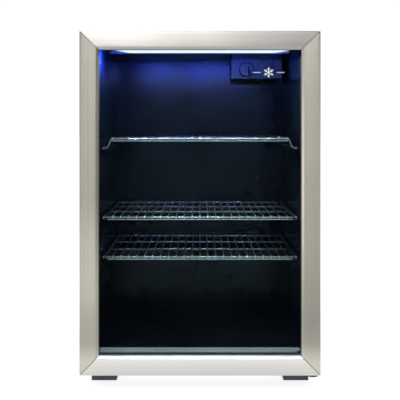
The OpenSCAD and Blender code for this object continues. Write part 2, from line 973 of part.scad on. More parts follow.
module front_foot_right() {
    foot(foot_x, front_foot_y);
}

module rear_feet() {
    foot(-foot_x, rear_foot_y);
    foot(foot_x, rear_foot_y);
}

spacer_x = 150;
spacer_z = cab_top - 34;
spacer_pin_d = 4.6;

// Posts that hold the condenser clear of a wall
module wall_spacers() {
    color([0.1, 0.1, 0.11])
        for (side = [-1, 1])
            translate([side * spacer_x, 0, spacer_z])
                union() {
                    difference() {
                        block([-14, cab_back_y, -9], [14, depth / 2, 9]);
                        block([-12, cab_back_y + 2, -10], [12, depth / 2 - 2, 7]);
                    }
                    translate([0, cab_back_y - pan_t - 8, 0]) rotate([-90, 0, 0]) cylinder(h = 8 + pan_t, d = spacer_pin_d);
                }
}

// ---- shelves ----

// Wires of the deck, carried over the front cross wire and turned down to the lower one
module deck(z) {
    bend_r = 3.4;
    top = z + cross_d / 2 + deck_d / 2 - 0.2;
    front = shelf_front_y - cross_d / 2 - deck_d / 2 + 0.3;
    for (i = [0 : deck_wires - 1])
        translate([(i - (deck_wires - 1) / 2) * deck_pitch, 0, 0])
            union() {
                rod([0, front + bend_r, top], [0, shelf_back_y, top], deck_d);
                translate([0, front + bend_r, top - bend_r])
                    rotate([0, -90, 0])
                        rotate([0, 0, -90])
                            rotate_extrude(angle = 90) translate([bend_r, 0]) circle(d = deck_d);
                rod([0, front, top - bend_r], [0, front, z - 6], deck_d);
            }
}

module lower_front_wire(z, half) {
    rod([-half, shelf_front_y, z - 5.4], [half, shelf_front_y, z - 5.4], cross_d);
}

// Flat shelf: rectangular rim with a doubled front edge
module flat_shelf(z) {
    rear = shelf_back_y - 3;
    color([0.3, 0.31, 0.33])
        union() {
            deck(z);
            for (y = [shelf_front_y, shelf_front_y + 105, shelf_front_y + 210, rear])
                rod([-rail_x, y, z], [rail_x, y, z], cross_d);
            for (side = [-1, 1])
                rod([side * rail_x, shelf_front_y, z], [side * rail_x, rear, z], rail_d);
            for (side = [-1, 1])
                translate([side * rail_x, shelf_front_y, z]) sphere(d = rail_d + ball_extra);
            lower_front_wire(z, liner_w / 2 - ledge_w - 1.5);
        }
}

// Raised shelf: short wings step down at both ends to reach the ledges
module raised_shelf(z) {
    low = z - wing_drop;
    step_x = 175;
    rear = shelf_back_y - 3;
    color([0.3, 0.31, 0.33])
        union() {
            deck(z);
            for (y = [shelf_front_y, shelf_front_y + 105, shelf_front_y + 210, rear])
                rod([-step_x, y, z], [step_x, y, z], cross_d);
            for (side = [-1, 1]) {
                for (y = [shelf_front_y, rear]) {
                    rod([side * step_x, y, low - post_d / 2], [side * step_x, y, z], post_d);
                    rod([side * step_x, y, low], [side * rail_x, y, low], cross_d);
                }
                for (rail = [[step_x, z], [rail_x, low]]) {
                    rod([side * rail.x, shelf_front_y, rail.y], [side * rail.x, rear, rail.y], rail_d);
                    translate([side * rail.x, shelf_front_y, rail.y]) sphere(d = rail_d + ball_extra);
                }
            }
            lower_front_wire(z, step_x - 2);
        }
}

module shelf_top() {
    raised_shelf(top_shelf_z);
}

module shelf_middle() {
    flat_shelf(middle_shelf_z);
}

module shelf_lower() {
    flat_shelf(lower_shelf_z);
}

trim_top();
trim_bottom();
trim_left();
trim_right();
door_frame();
outer_glass();
inner_glass();
glass_spacer();
door_gasket();
upper_bush();
lower_bush();
cabinet_shell();
back_panel();
base_pan();
front_rail();
bay_panel();
inner_liner();
foam_insulation();
sill_trim();
evaporator_plate();
drain_trough();
drain_tube();
drip_tray();
light_housing();
led_board();
light_lens();
thermostat_housing();
thermostat_body();
thermostat_spindle();
thermostat_knob();
switch_body();
light_rocker();
upper_hinge_plate();
upper_hinge_pin();
lower_hinge_plate();
lower_hinge_pin();
hinge_cover();
hinge_screws();
compressor_shell();
compressor_base();
compressor_mounts();
mount_bolts();
relay_cover();
condenser_tube();
condenser_wires();
condenser_brackets();
filter_drier();
suction_line();
discharge_line();
cord_gland();
front_foot_left();
front_foot_right();
rear_feet();
wall_spacers();
rear_screws();
shelf_top();
shelf_middle();
shelf_lower();
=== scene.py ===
import math
import bpy
import bmesh
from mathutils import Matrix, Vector


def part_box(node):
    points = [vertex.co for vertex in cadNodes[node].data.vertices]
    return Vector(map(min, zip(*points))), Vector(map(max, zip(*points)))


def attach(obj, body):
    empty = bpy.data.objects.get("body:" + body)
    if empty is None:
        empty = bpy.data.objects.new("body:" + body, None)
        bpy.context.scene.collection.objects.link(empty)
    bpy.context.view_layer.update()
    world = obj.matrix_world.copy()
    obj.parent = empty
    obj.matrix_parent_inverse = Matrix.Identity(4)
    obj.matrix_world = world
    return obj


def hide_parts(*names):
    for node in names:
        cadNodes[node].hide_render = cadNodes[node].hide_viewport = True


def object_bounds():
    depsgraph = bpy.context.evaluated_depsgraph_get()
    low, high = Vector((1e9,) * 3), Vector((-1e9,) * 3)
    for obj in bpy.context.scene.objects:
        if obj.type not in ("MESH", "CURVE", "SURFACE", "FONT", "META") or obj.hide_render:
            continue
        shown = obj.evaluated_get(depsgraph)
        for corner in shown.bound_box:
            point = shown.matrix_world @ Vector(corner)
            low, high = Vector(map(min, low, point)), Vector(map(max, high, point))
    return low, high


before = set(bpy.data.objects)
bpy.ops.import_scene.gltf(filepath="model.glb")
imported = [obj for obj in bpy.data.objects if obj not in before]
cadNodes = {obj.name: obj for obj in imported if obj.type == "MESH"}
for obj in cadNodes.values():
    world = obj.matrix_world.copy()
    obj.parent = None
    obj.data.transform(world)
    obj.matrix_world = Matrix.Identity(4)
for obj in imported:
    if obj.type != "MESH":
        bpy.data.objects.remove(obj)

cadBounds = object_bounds()
mm = 0.001
print("frame loaded:", len(cadNodes), "nodes")


# small helpers

def linkObject(name, mesh):
    obj = bpy.data.objects.new(name, mesh)
    bpy.context.scene.collection.objects.link(obj)
    return obj


def meshFrom(name, verts, faces):
    mesh = bpy.data.meshes.new(name)
    mesh.from_pydata([tuple(v) for v in verts], [], faces)
    mesh.update()
    return mesh


def outwards(mesh):
    # every face's normal turned to the outside
    bm = bmesh.new()
    bm.from_mesh(mesh)
    bmesh.ops.recalc_face_normals(bm, faces=bm.faces)
    bm.to_mesh(mesh)
    bm.free()


def smooth(mesh, angle=35):
    # smooth shading that keeps the true corners crisp
    bm = bmesh.new()
    bm.from_mesh(mesh)
    limit = math.radians(angle)
    for face in bm.faces:
        face.smooth = True
    for edge in bm.edges:
        edge.smooth = len(edge.link_faces) == 2 and edge.calc_face_angle(0) < limit
    bm.to_mesh(mesh)
    bm.free()


def applied(obj):
    # the evaluated shape as a plain mesh, with every modifier taken off
    bpy.context.view_layer.update()
    shown = obj.evaluated_get(bpy.context.evaluated_depsgraph_get())
    mesh = bpy.data.meshes.new_from_object(shown)
    obj.modifiers.clear()
    obj.data = mesh
    return obj


def setMaterial(obj, material):
    obj.data.materials.clear()
    obj.data.materials.append(material)
    for face in obj.data.polygons:
        face.material_index = 0


def joined(name, objects, material):
    # several meshes as one piece
    bm = bmesh.new()
    for obj in objects:
        bm.from_mesh(obj.data)
    mesh = bpy.data.meshes.new(name)
    bm.to_mesh(mesh)
    bm.free()
    for obj in objects:
        bpy.data.objects.remove(obj)
    piece = linkObject(name, mesh)
    setMaterial(piece, material)
    return piece


def place(piece, body, *nodes):
    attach(piece, body)
    if nodes:
        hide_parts(*nodes)


def softened(node, name, body, material, width, segments=3):
    # a CAD node's own shape with its corners rolled over
    mesh = cadNodes[node].data.copy()
    bm = bmesh.new()
    bm.from_mesh(mesh)
    bmesh.ops.remove_doubles(bm, verts=bm.verts, dist=1e-5)
    bmesh.ops.dissolve_limit(bm, angle_limit=math.radians(0.5), verts=bm.verts, edges=bm.edges)
    bm.to_mesh(mesh)
    bm.free()
    piece = linkObject(name, mesh)
    roll = piece.modifiers.new("roll", "BEVEL")
    roll.width = width
    roll.segments = segments
    roll.limit_method = "ANGLE"
    roll.angle_limit = math.radians(40)
    roll.use_clamp_overlap = True
    weigh = piece.modifiers.new("weigh", "WEIGHTED_NORMAL")
    weigh.keep_sharp = True
    for face in mesh.polygons:
        face.use_smooth = True
    applied(piece)
    setMaterial(piece, material)
    place(piece, body, node)
    return piece


# shader groups

def newGroup(name, inputs, outputs):
    tree = bpy.data.node_groups.new(name, "ShaderNodeTree")
    for label, kind, value in inputs:
        socket = tree.interface.new_socket(name=label, in_out="INPUT", socket_type=kind)
        if value is not None:
            socket.default_value = value
    for label, kind in outputs:
        tree.interface.new_socket(name=label, in_out="OUTPUT", socket_type=kind)
    return tree, tree.nodes.new("NodeGroupInput"), tree.nodes.new("NodeGroupOutput")


def mathNode(tree, operation, a, b=None, clamp=False):
    node = tree.nodes.new("ShaderNodeMath")
    node.operation = operation
    node.use_clamp = clamp
    for socket, value in zip(node.inputs, (a, b)):
        if value is None:
            continue
        if isinstance(value, (int, float)):
            socket.default_value = value
        else:
            tree.links.new(value, socket)
    return node.outputs[0]


def rangeNode(tree, value, low, high, toLow=0.0, toHigh=1.0):
    node = tree.nodes.new("ShaderNodeMapRange")
    tree.links.new(value, node.inputs["Value"])
    for label, number in (("From Min", low), ("From Max", high), ("To Min", toLow), ("To Max", toHigh)):
        node.inputs[label].default_value = number
    return node.outputs[0]


def noiseNode(tree, vector, scale, detail=2.0, roughness=0.5):
    node = tree.nodes.new("ShaderNodeTexNoise")
    node.inputs["Detail"].default_value = detail
    node.inputs["Roughness"].default_value = roughness
    tree.links.new(vector, node.inputs["Vector"])
    if isinstance(scale, (int, float)):
        node.inputs["Scale"].default_value = scale
    else:
        tree.links.new(scale, node.inputs["Scale"])
    return node.outputs["Fac"]


def buildBrushGroup():
    # fine sanding lines along one direction, with broader bands between them
    tree, given, result = newGroup(
        "brushedLines",
        [
            ("Vector", "NodeSocketVector", None),
            ("Fine", "NodeSocketFloat", 2600.0),
            ("Broad", "NodeSocketFloat", 160.0),
        ],
        [("Lines", "NodeSocketFloat"), ("Bands", "NodeSocketFloat")],
    )
    fine = noiseNode(tree, given.outputs["Vector"], given.outputs["Fine"], 3.0, 0.65)
    broad = noiseNode(tree, given.outputs["Vector"], given.outputs["Broad"], 2.0, 0.5)
    tree.links.new(rangeNode(tree, fine, 0.3, 0.7), result.inputs["Lines"])
    tree.links.new(rangeNode(tree, broad, 0.3, 0.7), result.inputs["Bands"])
    return tree


def buildGrainGroup():
    # moulded-plastic or paint grain with large soft unevenness
    tree, given, result = newGroup(
        "mouldGrain",
        [("Vector", "NodeSocketVector", None), ("Scale", "NodeSocketFloat", 900.0)],
        [("Grain", "NodeSocketFloat"), ("Patches", "NodeSocketFloat")],
    )
    grain = noiseNode(tree, given.outputs["Vector"], given.outputs["Scale"], 4.0, 0.6)
    patches = noiseNode(tree, given.outputs["Vector"], 9.0, 3.0, 0.55)
    tree.links.new(grain, result.inputs["Grain"])
    tree.links.new(rangeNode(tree, patches, 0.35, 0.65), result.inputs["Patches"])
    return tree


def buildDustGroup():
    # dust that settles on faces turned upwards
    tree, given, result = newGroup(
        "settledDust",
        [("Vector", "NodeSocketVector", None), ("Amount", "NodeSocketFloat", 0.3)],
        [("Dust", "NodeSocketFloat")],
    )
    geometry = tree.nodes.new("ShaderNodeNewGeometry")
    split = tree.nodes.new("ShaderNodeSeparateXYZ")
    tree.links.new(geometry.outputs["Normal"], split.inputs[0])
    facing = rangeNode(tree, split.outputs["Z"], 0.5, 1.0)
    specks = rangeNode(tree, noiseNode(tree, given.outputs["Vector"], 420.0, 5.0, 0.7), 0.42, 0.72)
    cover = mathNode(tree, "MULTIPLY", facing, specks)
    tree.links.new(mathNode(tree, "MULTIPLY", cover, given.outputs["Amount"], True), result.inputs["Dust"])
    return tree


def buildWearGroup():
    # lighter rubbed corners
    tree, given, result = newGroup(
        "rubbedEdges",
        [("Vector", "NodeSocketVector", None), ("Amount", "NodeSocketFloat", 0.5)],
        [("Wear", "NodeSocketFloat")],
    )
    geometry = tree.nodes.new("ShaderNodeNewGeometry")
    edge = rangeNode(tree, geometry.outputs["Pointiness"], 0.52, 0.6)
    breakUp = rangeNode(tree, noiseNode(tree, given.outputs["Vector"], 130.0, 4.0, 0.6), 0.4, 0.62)
    worn = mathNode(tree, "MULTIPLY", edge, breakUp)
    tree.links.new(mathNode(tree, "MULTIPLY", worn, given.outputs["Amount"], True), result.inputs["Wear"])
    return tree


brushGroup = buildBrushGroup()
grainGroup = buildGrainGroup()
dustGroup = buildDustGroup()
wearGroup = buildWearGroup()


# materials

class Shader:
    # a material with one Principled shader and short ways to wire it
    def __init__(self, name):
        self.material = bpy.data.materials.new(name)
        self.material.use_nodes = True
        self.tree = self.material.node_tree
        self.shader = self.tree.nodes["Principled BSDF"]
        self.coords = self.tree.nodes.new("ShaderNodeTexCoord").outputs["Object"]

    def set(self, **values):
        for label, value in values.items():
            self.shader.inputs[label.replace("_", " ")].default_value = value

    def link(self, output, label):
        self.tree.links.new(output, self.shader.inputs[label])

    def group(self, tree, vector=None, **values):
        node = self.tree.nodes.new("ShaderNodeGroup")
        node.node_tree = tree
        self.tree.links.new(vector or self.coords, node.inputs["Vector"])
        for label, value in values.items():
            node.inputs[label].default_value = value
        return node.outputs

    def axes(self):
        # X, Y and Z in the object's own frame
        node = self.tree.nodes.new("ShaderNodeSeparateXYZ")
        self.tree.links.new(self.coords, node.inputs[0])
        return node.outputs

    def mapped(self, scale):
        node = self.tree.nodes.new("ShaderNodeMapping")
        node.inputs["Scale"].default_value = scale
        self.tree.links.new(self.coords, node.inputs["Vector"])
        return node.outputs[0]

    def blend(self, fac, a, b):
        # colour sockets of a Mix node share their names with the float ones
        node = self.tree.nodes.new("ShaderNodeMix")
        node.data_type = "RGBA"
        colours = [s for s in node.inputs if s.type == "RGBA"]
        self.tree.links.new(fac, node.inputs[0])
        for socket, value in zip(colours, (a, b)):
            if isinstance(value, (tuple, list)):
                socket.default_value = (*value[:3], 1)
            else:
                self.tree.links.new(value, socket)
        return [s for s in node.outputs if s.type == "RGBA"][0]

    def bump(self, height, strength, distance):
        node = self.tree.nodes.new("ShaderNodeBump")
        node.inputs["Strength"].default_value = strength
        node.inputs["Distance"].default_value = distance
        self.tree.links.new(height, node.inputs["Height"])
        self.link(node.outputs[0], "Normal")


def brushedSteel(name, alongZ, light, dark, paintedReflection=((0, 1), (700, 1)), rough=0.3):
    # painted reflection: pairs of a height in mm and how bright the sheet is painted there, standing in
    # for bands of reflected studio light
    s = Shader(name)
    stretch = (1, 1, 0.006) if alongZ else (0.006, 1, 1)
    lines = s.group(brushGroup, s.mapped(stretch))
    smears = s.group(grainGroup, Scale=60.0)
    where = s.axes()
    ramp = s.tree.nodes.new("ShaderNodeValToRGB")
    low, high = paintedReflection[0][0], paintedReflection[-1][0]
    s.tree.links.new(rangeNode(s.tree, where["Z"], low * mm, high * mm, 0, 1), ramp.inputs[0])
    # a ramp's colours end at 1, so the painted reflection goes in at half and the product is doubled
    stops = ramp.color_ramp.elements
    for _ in paintedReflection[2:]:
        stops.new(0.5)
    for stop, (height, tone) in zip(stops, paintedReflection):
        stop.position = (height - low) / (high - low)
        stop.color = (tone / 2, tone / 2, tone / 2, 1)
    reflectionPainted = s.tree.nodes.new("ShaderNodeVectorMath")
    reflectionPainted.operation = "MULTIPLY"
    s.tree.links.new(s.blend(lines["Bands"], dark, light), reflectionPainted.inputs[0])
    s.tree.links.new(ramp.outputs[0], reflectionPainted.inputs[1])
    doubled = s.tree.nodes.new("ShaderNodeVectorMath")
    doubled.operation = "SCALE"
    doubled.inputs["Scale"].default_value = 2.0
    s.tree.links.new(reflectionPainted.outputs[0], doubled.inputs[0])
    s.link(doubled.outputs[0], "Base Color")
    streaks = rangeNode(s.tree, lines["Lines"], 0, 1, rough - 0.06, rough + 0.1)
    smudged = mathNode(s.tree, "MULTIPLY", smears["Patches"], 0.05)
    s.link(mathNode(s.tree, "ADD", streaks, smudged), "Roughness")
    s.set(Metallic=1.0)
    s.bump(lines["Lines"], 0.12, 0.0002)
    return s.material


def plastic(name, colour, rough, grain=900.0, depth=0.0001, dust=0.2, wear=0.3, coat=0.0, spec=0.5):
    s = Shader(name)
    mould = s.group(grainGroup, Scale=grain)
    lighter = tuple(c * 1.25 + 0.004 for c in colour)
    base = s.blend(mould["Patches"], colour, lighter)
    rubbed = tuple(min(1, c * 2 + 0.06) for c in colour)
    worn = s.blend(s.group(wearGroup, Amount=wear)["Wear"], base, rubbed)
    dusty = s.blend(s.group(dustGroup, Amount=dust)["Dust"], worn, (0.45, 0.43, 0.4))
    s.link(dusty, "Base Color")
    s.link(rangeNode(s.tree, mould["Patches"], 0, 1, rough - 0.04, rough + 0.06), "Roughness")
    s.set(Coat_Weight=coat, Specular_IOR_Level=spec)
    s.bump(mould["Grain"], 0.25, depth)
    return s.material


def metal(name, colour, rough, grain=500.0, depth=0.00005):
    s = Shader(name)
    cast = s.group(grainGroup, Scale=grain)
    base = s.blend(cast["Patches"], colour, tuple(c * 0.82 for c in colour))
    s.link(base, "Base Color")
    s.link(rangeNode(s.tree, cast["Grain"], 0.3, 0.7, rough - 0.06, rough + 0.1), "Roughness")
    s.set(Metallic=1.0)
    s.bump(cast["Grain"], 0.2, depth)
    return s.material


def platedWire(name, front, deep, litFrontEnd, shadeStart):
    # plated wire, bright along the rack's front edge, with painted shade darkening it on the deck behind
    s = Shader(name)
    where = s.axes()
    # painted shade: the colour falls from the front colour to the darker deep colour towards the back
    depth = rangeNode(s.tree, where["Y"], litFrontEnd, shadeStart)
    stain = s.group(grainGroup, Scale=700.0)
    base = s.blend(depth, front, deep)
    s.link(s.blend(mathNode(s.tree, "MULTIPLY", stain["Patches"], 0.3), base, deep), "Base Color")
    s.link(rangeNode(s.tree, stain["Grain"], 0.3, 0.7, 0.2, 0.36), "Roughness")
    s.set(Metallic=1.0)
    return s.material


def zincSheet(name):
    # galvanised sheet with its frost-like crystals
    s = Shader(name)
    cells = s.tree.nodes.new("ShaderNodeTexVoronoi")
    cells.inputs["Scale"].default_value = 75.0
    s.tree.links.new(s.coords, cells.inputs["Vector"])
    tone = s.tree.nodes.new("ShaderNodeSeparateColor")
    s.tree.links.new(cells.outputs["Color"], tone.inputs[0])
    s.link(s.blend(tone.outputs[0], (0.42, 0.44, 0.46), (0.62, 0.64, 0.66)), "Base Color")
    s.link(rangeNode(s.tree, tone.outputs[1], 0, 1, 0.32, 0.52), "Roughness")
    s.set(Metallic=1.0)
    s.bump(s.group(grainGroup, Scale=300.0)["Grain"], 0.15, 0.0001)
    return s.material


def clearGlass(name, tint):
    s = Shader(name)
    s.set(Transmission_Weight=1.0, IOR=1.07, Metallic=0.0)
    haze = s.group(grainGroup, Scale=40.0)
    s.link(s.blend(haze["Patches"], tint, tuple(c * 0.97 for c in tint)), "Base Color")
    s.link(rangeNode(s.tree, haze["Patches"], 0, 1, 0.0, 0.012), "Roughness")
    # light passes straight through the pane and sight nearly so: what stands behind it is lit and sharp
    clarity = 0.97
    path = s.tree.nodes.new("ShaderNodeLightPath")
    through = s.tree.nodes.new("ShaderNodeBsdfTransparent")
    through.inputs[0].default_value = (*(math.sqrt(c) for c in tint), 1)
    both = s.tree.nodes.new("ShaderNodeMixShader")
    sight = mathNode(s.tree, "MULTIPLY", path.outputs["Is Camera Ray"], clarity)
    s.tree.links.new(mathNode(s.tree, "MAXIMUM", path.outputs["Is Shadow Ray"], sight), both.inputs[0])
    s.tree.links.new(s.shader.outputs[0], both.inputs[1])
    s.tree.links.new(through.outputs[0], both.inputs[2])
    s.tree.links.new(both.outputs[0], s.tree.nodes["Material Output"].inputs["Surface"])
    return s.material


def litLens(name, strip, top):
    # frosted strip: diodes shine through one stretch of it, its lit part narrowing towards both ends
    s = Shader(name)
    where = s.axes()
    below = mathNode(s.tree, "SUBTRACT", top, where["Z"])
    slant = mathNode(s.tree, "MULTIPLY", below, strip["slant"])
    fromLeft = mathNode(s.tree, "SUBTRACT", where["X"], slant)
    fromRight = mathNode(s.tree, "ADD", where["X"], slant)
    left = rangeNode(s.tree, fromLeft, strip["leftDark"], strip["leftLit"], strip["leftGlow"], 1.0)
    right = rangeNode(s.tree, fromRight, strip["rightLit"], strip["rightDark"], 1.0, strip["rightGlow"])
    front = rangeNode(s.tree, where["Y"], strip["frontLit"], strip["frontDim"], 1.0, strip["deepGlow"])
    glow = mathNode(s.tree, "MULTIPLY", mathNode(s.tree, "MULTIPLY", left, right), front)
    s.link(s.blend(glow, strip["darkBlue"], strip["coldWhite"]), "Emission Color")
    frost = s.group(grainGroup, Scale=700.0)["Grain"]
    s.link(s.blend(frost, (0.02, 0.03, 0.1), (0.04, 0.06, 0.14)), "Base Color")
    s.set(Roughness=0.5, Emission_Strength=strip["strength"])
    return s.material


# painted reflection and shade: each trim has its own copy of the steel, with its own brightness and bands
# by height painted in for the studio light it reflects
leftPaintedReflection = (
    (50, 1.36), (85, 0.87), (130, 0.87), (165, 0.98), (205, 0.95), (350, 0.6), (540, 0.68), (650, 0.6)
)
rightPaintedReflection = ((50, 1.5), (85, 0.85), (125, 0.75), (275, 0.97), (430, 0.98), (650, 0.61))
warmLight, warmDark = (0.33, 0.312, 0.275), (0.29, 0.272, 0.236)
steelLeft = brushedSteel("brushedSteelLeft", True, warmLight, warmDark, leftPaintedReflection)
steelRight = brushedSteel("brushedSteelRight", True, warmLight, warmDark, rightPaintedReflection)
topPaintedReflection = ((628, 0.78), (660, 1.15))
steelTop = brushedSteel("brushedSteelTop", False, (0.42, 0.41, 0.385), (0.375, 0.364, 0.34), topPaintedReflection)
footPaintedReflection = ((27, 0.84), (57, 1.08))
steelFoot = brushedSteel("brushedSteelFoot", False, (0.6, 0.588, 0.562), (0.55, 0.538, 0.512), footPaintedReflection)
# painted shade: a darker copy of the steel for the top trim's lip over the glass
steelPaintedShade = brushedSteel("brushedSteelPaintedShade", False, (0.31, 0.303, 0.302), (0.275, 0.268, 0.267))
framePlastic = plastic("frameBlackPlastic", (0.012, 0.012, 0.013), 0.42)
linerPlastic = plastic(
    "linerGlossBlack", (0.002, 0.0032, 0.0055), 0.2,
    grain=260.0, depth=0.00006, dust=0.005, wear=0.0, spec=0.16,
)
shellPaint = plastic(
    "shellTexturedPaint", (0.012, 0.012, 0.013), 0.45,
    grain=1400.0, depth=0.00025, dust=0.12, wear=0.25,
)
# partly the strip's own grey plastic, partly painted light: made lighter to stand in for light falling on
# the bottom edge
sillPaintedLight = plastic(
    "sillGreyPaintedLight", (0.39, 0.352, 0.34), 0.38,
    grain=600.0, depth=0.0001, dust=0.1, wear=0.2,
)
footPlastic = plastic(
    "footCharcoal", (0.035, 0.035, 0.045), 0.5,
    grain=1100.0, depth=0.0002, dust=0.15, wear=0.4,
)
controlPlastic = plastic(
    "controlBlack", (0.005, 0.005, 0.006), 0.4,
    grain=1000.0, depth=0.0001, dust=0.05, wear=0.4, spec=0.3,
)
gasketRubber = plastic(
    "gasketRubber", (0.02, 0.02, 0.022), 0.62,
    grain=700.0, depth=0.0002, dust=0.15, wear=0.1,
)
mountRubber = plastic(
    "mountRubber", (0.015, 0.015, 0.015), 0.7,
    grain=500.0, depth=0.0003, dust=0.3, wear=0.1,
)
bushNylon = plastic("bushNylon", (0.62, 0.62, 0.58), 0.4, grain=800.0, depth=0.0001, dust=0.1, wear=0.1)
foamCream = plastic("foamCream", (0.75, 0.62, 0.34), 0.85, grain=260.0, depth=0.0012, dust=0.1, wear=0.2)
boardWhite = plastic("boardWhite", (0.75, 0.78, 0.8), 0.4, grain=900.0, depth=0.0001, dust=0.0, wear=0.0)
trayPlastic = plastic("trayBlack", (0.02, 0.02, 0.021), 0.5, grain=700.0, depth=0.0002, dust=0.4, wear=0.3)
enamelBlack = plastic(
    "enamelBlack", (0.008, 0.008, 0.009), 0.28,
    grain=380.0, depth=0.0001, dust=0.25, wear=0.5, coat=0.3,
)
zincBright = metal("zincBright", (0.74, 0.74, 0.72), 0.22)
# partly the aluminium's own pale colour, partly painted light: made paler to outweigh the shade between
# the panes
spacerPaintedLight = plastic(
    "spacerAnodisedPaintedLight", (0.85, 0.8, 0.78), 0.4,
    grain=900.0, depth=0.00005, dust=0.05, wear=0.1,
)
plateMetal = metal("evaporatorAluminium", (0.8, 0.81, 0.82), 0.3)
copperMetal = metal("drawnCopper", (0.8, 0.42, 0.26), 0.26)
# the deep colours are painted shade, and the upper rack's is painted darker still
wireMetal = platedWire("platedWire", (0.9, 0.9, 0.92), (0.2, 0.21, 0.23), -165 * mm, -152 * mm)
wireUpper = platedWire("platedWireUpper", (0.75, 0.74, 0.78), (0.05, 0.052, 0.06), -164.5 * mm, -160 * mm)
zincPlate = zincSheet("galvanisedSheet")
paneGlass = clearGlass("paneGlass", (0.79, 0.865, 0.87))
print("materials made")


# door trims

trims = {
    "bevel": 5.5 * mm,
    "bevelDrop": 3.0 * mm,
    "sheet": 1.2 * mm,
    "foldRadius": 0.9 * mm,
    "crease": ((-0.18 * mm, 0.02 * mm), (0.6 * mm, 0.384 * mm)),
    "lip": ((-1.3 * mm, -0.75 * mm), (-0.5 * mm, -0.1 * mm), (0.0, 0.8 * mm)),
    "foldSteps": 5,
    "faceSteps": 6,
    "seam": 0.9 * mm,
    "runs": 24,
}


def arcPoints(centre, radius, start, end, steps):
    return [
        (centre[0] + radius * math.cos(math.radians(start + (end - start) * i / steps)),
         centre[1] + radius * math.sin(math.radians(start + (end - start) * i / steps)))
        for i in range(steps + 1)
    ]


def trimProfile(width, depth, glassDepth):
    # u runs inwards from the door's outline, v runs back from its face
    r = trims["foldRadius"]
    face = width - trims["bevel"]
    t = trims["sheet"]
    outer = [(0.0, depth), (0.0, depth * 0.5)]
    outer += arcPoints((r, r), r, 180, 270, trims["foldSteps"])
    steps = trims["faceSteps"]
    outer += [(r + (face - 2 * r) * i / steps, 0.0) for i in range(1, steps + 1)]
    drop = trims["bevelDrop"]
    outer += [(face + across, down) for across, down in trims["crease"]]
    outer += [(width + across, drop + down) for across, down in trims["lip"]]
    outer.append((width, glassDepth))
    inner = [(width - t, glassDepth), (width - t, drop + t * 0.6), (face, t), (t, t), (t, depth)]
    return outer + inner


def mitredTrim(name, node, material, side):
    # the profile swept along one side of the door, each end cut at 45 degrees
    lo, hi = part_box(node)
    upright = side in ("left", "right")
    width = (hi.x - lo.x) if upright else (hi.z - lo.z)
    length = (hi.z - lo.z) if upright else (hi.x - lo.x)
    middle = (lo + hi) / 2
    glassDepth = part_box("outer_glass")[0].y - lo.y
    profile = trimProfile(width, hi.y - lo.y, glassDepth)
    half = length / 2 - trims["seam"] / 2
    runs = trims["runs"]
    verts = []
    for j in range(runs + 1):
        share = 2 * j / runs - 1
        for u, v in profile:
            along = share * (half - u)
            y = lo.y + v
            if side == "left":
                verts.append((lo.x + u, y, middle.z + along))
            elif side == "right":
                verts.append((hi.x - u, y, middle.z + along))
            elif side == "bottom":
                verts.append((middle.x + along, y, lo.z + u))
            else:
                verts.append((middle.x + along, y, hi.z - u))
    n = len(profile)
    faces = [
        (j * n + i, j * n + (i + 1) % n, (j + 1) * n + (i + 1) % n, (j + 1) * n + i)
        for j in range(runs) for i in range(n)
    ]
    faces += [tuple(range(n)), tuple(range(runs * n, (runs + 1) * n))]
    mesh = meshFrom(name, verts, faces)
    outwards(mesh)
    smooth(mesh, 30)
    piece = linkObject(name, mesh)
    setMaterial(piece, material)
    if side == "top":
        # its lip over the glass takes a darker copy of the steel as painted shade
        piece.data.materials.append(steelPaintedShade)
        for face in piece.data.polygons:
            if face.normal.z < -0.3 and face.center.z < hi.z - width * 0.8:
                face.material_index = 1
    place(piece, "door", node)
    return piece


rails = {}
for side in ("left", "right", "top", "bottom"):
    look = {"top": steelTop, "bottom": steelFoot, "left": steelLeft, "right": steelRight}[side]
    rails[side] = mitredTrim("doorTrim" + side.capitalize(), "trim_" + side, look, side)
print("door trims folded")


# door frame, glass, spacer, gasket

softened("door_frame", "doorFrame", "door", framePlastic, 1.2 * mm)
softened("outer_glass", "outerPane", "door", paneGlass, 0.8 * mm, 2)
softened("inner_glass", "innerPane", "door", paneGlass, 0.8 * mm, 2)
softened("glass_spacer", "paneSpacer", "door", spacerPaintedLight, 0.6 * mm, 2)

gasket = {
    "cornerRadius": 7.0 * mm,
    "cornerSteps": 6,
    "tightest": 1.1 * mm,
    "width": 14.0 * mm,
}


def roundedLoop(lo, hi, inset, radius, steps):
    # points round a rectangle in the XZ plane, its corners rounded
    x0, x1, z0, z1 = lo.x + inset, hi.x - inset, lo.z + inset, hi.z - inset
    corners = ((x1, z0, 270), (x1, z1, 0), (x0, z1, 90), (x0, z0, 180))
    points = []
    for x, z, start in corners:
        cx = x - radius if x == x1 else x + radius
        cz = z - radius if z == z1 else z + radius
        points += arcPoints((cx, cz), radius, start, start + 90, steps)
    return points


